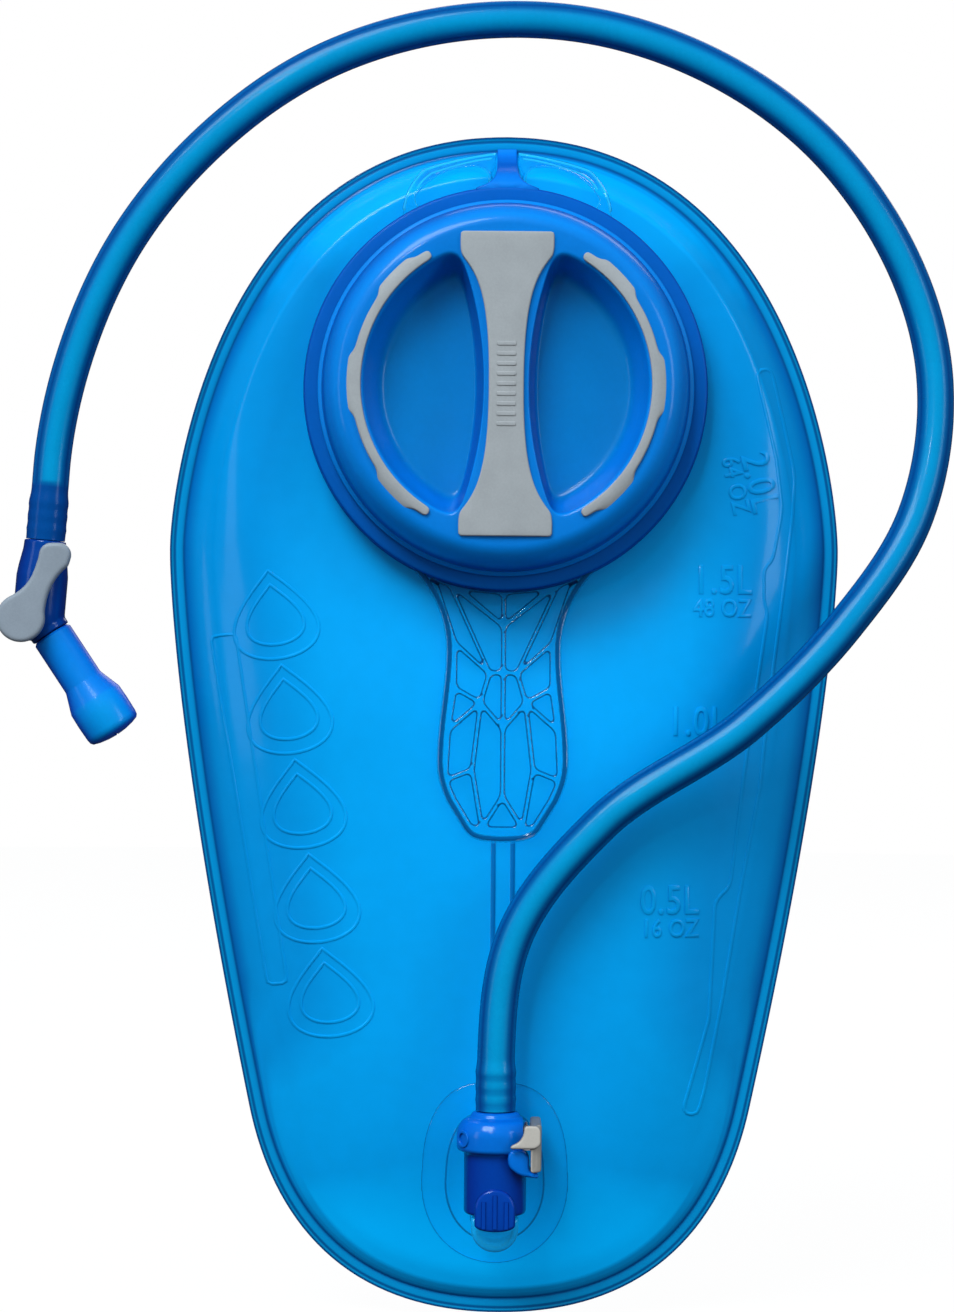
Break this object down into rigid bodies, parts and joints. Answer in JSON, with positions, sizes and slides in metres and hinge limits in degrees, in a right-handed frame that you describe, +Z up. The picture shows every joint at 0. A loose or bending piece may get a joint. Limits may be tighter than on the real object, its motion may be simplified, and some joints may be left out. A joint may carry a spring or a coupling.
{
  "type": "hydration bladder",
  "caption": "Soft water reservoir for a backpack with a screw fill cap, a quick-release drinking hose, and an on/off bite valve.",
  "frame": {"origin": "middle of the flat area of the reservoir's back, which rests against the pack", "axes": "+Z up towards the fill cap, +X to the right as seen from the cap's side, -Y out of the cap's side"},
  "size_m": [0.2696, 0.0613, 0.3715],
  "materials": {
    "film": "clear glossy soft film",
    "cap": "glossy",
    "clear": "clear glossy",
    "deep_blue": "satin",
    "hose": "translucent glossy",
    "mouthpiece": "translucent satin silicone",
    "grip": "matt soft-touch",
    "button": "satin",
    "lever": "satin",
    "seal": "matt",
    "spring": "bright"
  },
  "bodies": {
    "bladder": {"front_film": "film", "back_film": "film", "centre_baffle": "film", "fill_neck": "film", "port_frame": "clear", "exit_port": "clear", "spigot_o_ring": "seal", "exit_valve_spring": "spring"},
    "poppet": {"exit_valve_poppet": "deep_blue", "exit_valve_seal": "seal"},
    "tether": {"cap_tether": "cap"},
    "cap": {"cap_shell": "cap", "cap_handle_grip": "grip", "cap_arc_grip_left": "grip", "cap_arc_grip_right": "grip", "cap_gasket": "seal"},
    "hose": {"connector_body": "deep_blue", "button_spring": "spring", "drinking_tube": "hose"},
    "button": {"release_button": "button"},
    "valve": {"valve_body": "deep_blue"},
    "lever": {"valve_lever": "lever", "valve_barrel": "deep_blue", "barrel_o_ring_front": "seal", "barrel_o_ring_back": "seal"},
    "mouthpiece": {"bite_valve": "mouthpiece"}
  },
  "joints": [
    {"name": "cap_lift", "type": "slide", "parent": "bladder", "child": "tether", "axis": [0, -1, 0], "range_m": [0, 0.008]},
    {"name": "cap_turn", "type": "hinge", "parent": "tether", "child": "cap", "pos_m": [0, -0.05485, 0.1115], "axis": [0, -1, 0], "range_deg": [0, 200]},
    {"name": "hose_release", "type": "slide", "parent": "bladder", "child": "hose", "axis": [0, 0, 1], "range_m": [0, 0.02]},
    {"name": "exit_valve_travel", "type": "slide", "parent": "bladder", "child": "poppet", "axis": [0, 0, 1], "range_m": [0, 0.0029], "deforming": ["exit_valve_spring"]},
    {"name": "button_press", "type": "slide", "parent": "hose", "child": "button", "axis": [-1, 0, 0], "range_m": [0, 0.0016], "stiffness_N_per_m": 600, "deforming": ["button_spring"]},
    {"name": "valve_swivel", "type": "hinge", "parent": "hose", "child": "valve", "pos_m": [-0.1316, -0.02285, 0.0474], "axis": [0.0796, 0, 0.9968], "continuous": true},
    {"name": "lever_turn", "type": "hinge", "parent": "valve", "child": "lever", "pos_m": [-0.1356, -0.03185, 0.0464], "axis": [0, -1, 0], "range_deg": [0, 90]},
    {"name": "bite_valve_turn", "type": "hinge", "parent": "valve", "child": "mouthpiece", "pos_m": [-0.11492, -0.02285, 0.02247], "axis": [0.5561, 0, -0.8311], "continuous": true}
  ],
  "couplings": [
    {"joint": "cap_lift", "follows": "cap_turn", "m_per_rad": 0.0022282},
    {"joint": "exit_valve_travel", "follows": "hose_release", "ratio": 0.145}
  ]
}
